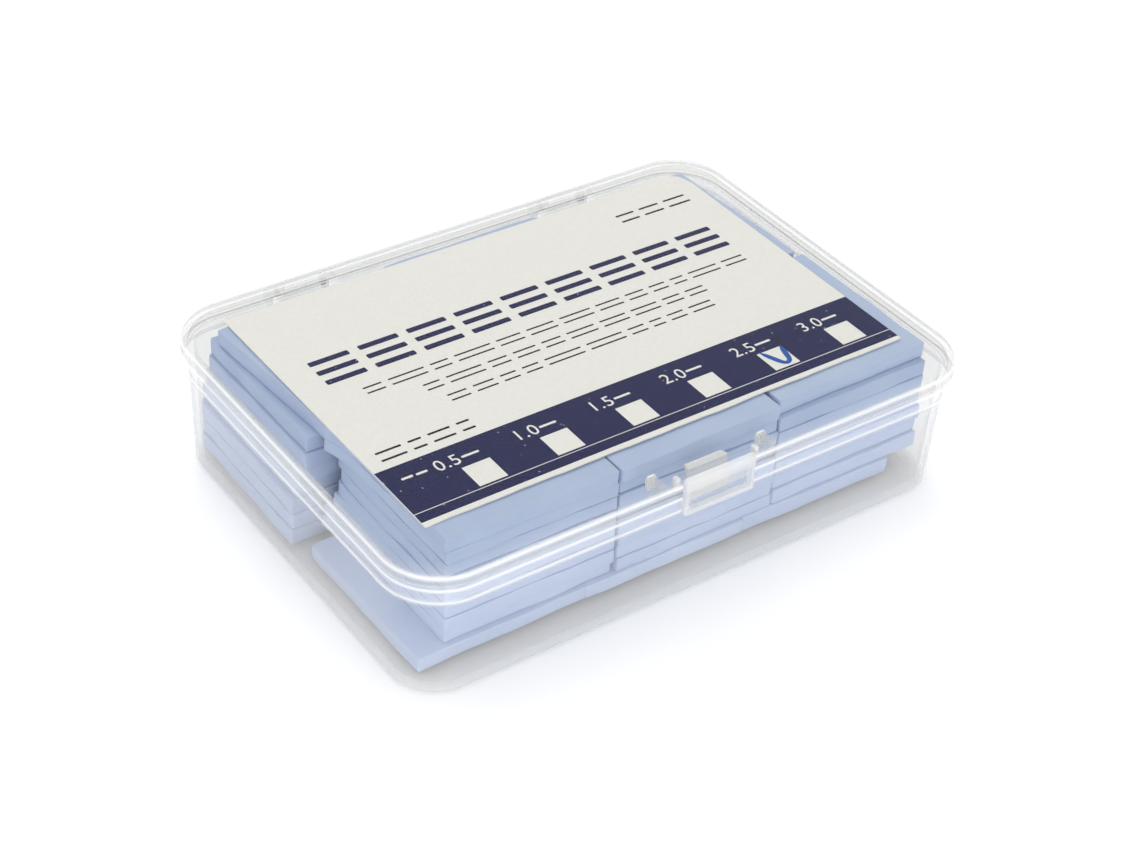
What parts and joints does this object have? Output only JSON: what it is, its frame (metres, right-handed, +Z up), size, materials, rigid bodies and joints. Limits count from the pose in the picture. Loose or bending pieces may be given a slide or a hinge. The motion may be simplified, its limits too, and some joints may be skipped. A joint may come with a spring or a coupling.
{
  "type": "boxed thermal pad pack",
  "caption": "Clear hinged polypropylene box with a front latch, holding stacks of square blue silicone thermal pads under a printed paper card.",
  "frame": {"origin": "on the table, under the middle of the box's outline without its latch and hinges", "axes": "+Z up through the lid, +X along the box's length, -Y towards the latch, +Y towards the hinges"},
  "size_m": [0.105, 0.0794, 0.0251],
  "materials": {
    "clear_polypropylene": "clear moulded polypropylene, slightly milky, glossy",
    "blue_silicone": "soft filled silicone, light blue, satin",
    "card_stock": "off-white card with a navy printed band, matte"
  },
  "bodies": {
    "box": {"tray": "clear_polypropylene", "card": "card_stock", "pad_front_1_1": "blue_silicone", "pad_front_1_2": "blue_silicone", "pad_front_1_3": "blue_silicone", "pad_front_1_4": "blue_silicone", "pad_front_1_5": "blue_silicone", "pad_front_1_6": "blue_silicone", "pad_front_1_7": "blue_silicone", "pad_front_1_8": "blue_silicone", "pad_front_1_9": "blue_silicone", "pad_front_2_1": "blue_silicone", "pad_front_2_2": "blue_silicone", "pad_front_2_3": "blue_silicone", "pad_front_2_4": "blue_silicone", "pad_front_2_5": "blue_silicone", "pad_front_2_6": "blue_silicone", "pad_front_2_7": "blue_silicone", "pad_front_2_8": "blue_silicone", "pad_front_2_9": "blue_silicone", "pad_front_3_1": "blue_silicone", "pad_front_3_2": "blue_silicone", "pad_front_3_3": "blue_silicone", "pad_front_3_4": "blue_silicone", "pad_front_3_5": "blue_silicone", "pad_front_3_6": "blue_silicone", "pad_front_3_7": "blue_silicone", "pad_front_3_8": "blue_silicone", "pad_back_1_1": "blue_silicone", "pad_back_1_2": "blue_silicone", "pad_back_1_3": "blue_silicone", "pad_back_1_4": "blue_silicone", "pad_back_1_5": "blue_silicone", "pad_back_1_6": "blue_silicone", "pad_back_1_7": "blue_silicone", "pad_back_1_8": "blue_silicone", "pad_back_2_1": "blue_silicone", "pad_back_2_2": "blue_silicone", "pad_back_2_3": "blue_silicone", "pad_back_2_4": "blue_silicone", "pad_back_2_5": "blue_silicone", "pad_back_2_6": "blue_silicone", "pad_back_2_7": "blue_silicone", "pad_back_2_8": "blue_silicone", "pad_back_3_1": "blue_silicone", "pad_back_3_2": "blue_silicone", "pad_back_3_3": "blue_silicone", "pad_back_3_4": "blue_silicone", "pad_back_3_5": "blue_silicone", "pad_back_3_6": "blue_silicone", "pad_back_3_7": "blue_silicone", "pad_back_3_8": "blue_silicone"},
    "cover": {"lid": "clear_polypropylene"},
    "flap": {"latch": "clear_polypropylene"}
  },
  "joints": [
    {"name": "lid_hinge", "type": "hinge", "parent": "box", "child": "cover", "pos_m": [0, 0.03963, 0.0199], "axis": [-1, 0, 0], "range_deg": [0, 180]},
    {"name": "latch_hinge", "type": "hinge", "parent": "cover", "child": "flap", "pos_m": [0, -0.03763, 0.0238], "axis": [-1, 0, 0], "range_deg": [0, 100]}
  ]
}
